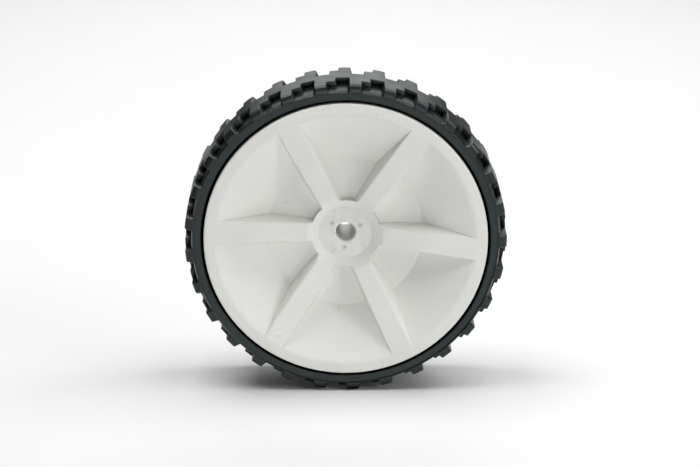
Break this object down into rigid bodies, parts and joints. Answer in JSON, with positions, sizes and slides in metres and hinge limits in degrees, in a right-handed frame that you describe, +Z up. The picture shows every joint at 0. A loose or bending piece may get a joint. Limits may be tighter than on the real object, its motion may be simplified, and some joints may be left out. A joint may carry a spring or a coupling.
{
  "type": "snow blower wheel",
  "caption": "Snow blower wheel: dished white plastic rim with tapered hollow spokes and a plain axle bore, and a black rubber tyre with a stepped zigzag lug tread.",
  "frame": {"origin": "on the axle line, in the middle of the tyre's width", "axes": "+Y along the axle line from the outer face towards the machine, +Z up with the wheel standing on its tread, +X to the right seen from the outer face"},
  "size_m": [0.2032, 0.054, 0.2032],
  "materials": {
    "rim_plastic": "satin moulded white plastic",
    "tyre_rubber": "matt moulded black rubber"
  },
  "bodies": {
    "root": {"rim": "rim_plastic", "tyre": "tyre_rubber"}
  },
  "joints": []
}
